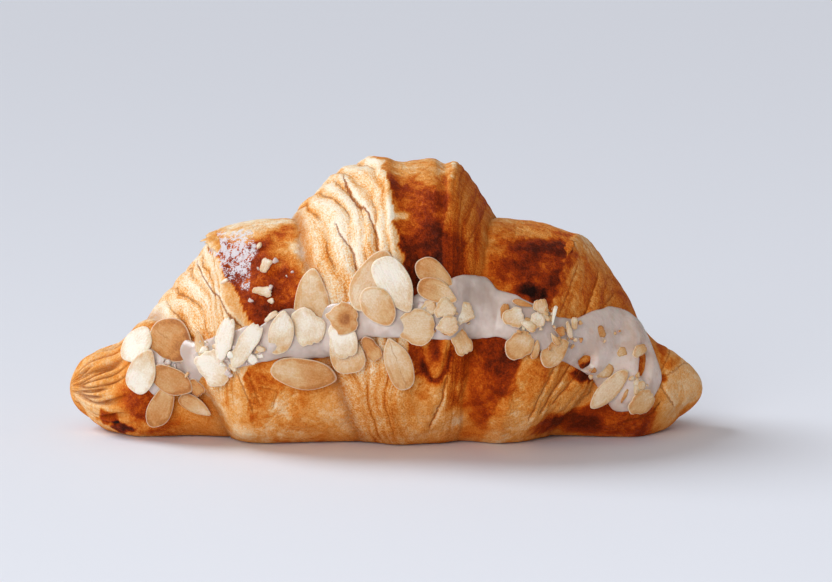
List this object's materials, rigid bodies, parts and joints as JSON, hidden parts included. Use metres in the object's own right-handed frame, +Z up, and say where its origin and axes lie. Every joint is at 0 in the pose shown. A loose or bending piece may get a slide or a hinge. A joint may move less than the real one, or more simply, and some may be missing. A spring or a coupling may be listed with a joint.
{
  "type": "almond croissant",
  "caption": "Baked croissant of rolled, layered dough with a flat underside, a band of white icing along the front and flaked almonds lying in the icing.",
  "frame": {"origin": "on the table, under the middle of the croissant's box", "axes": "+X along the roll from tip to tip, +Z up, -Y towards the iced front"},
  "size_m": [0.17, 0.0816, 0.0736],
  "materials": {
    "crust": "baked, satin where egg-washed",
    "icing": "smooth, soft sheen",
    "almond": "dry, matte"
  },
  "bodies": {
    "root": {"pastry": "crust", "icing_with_almonds": "icing"}
  },
  "joints": []
}
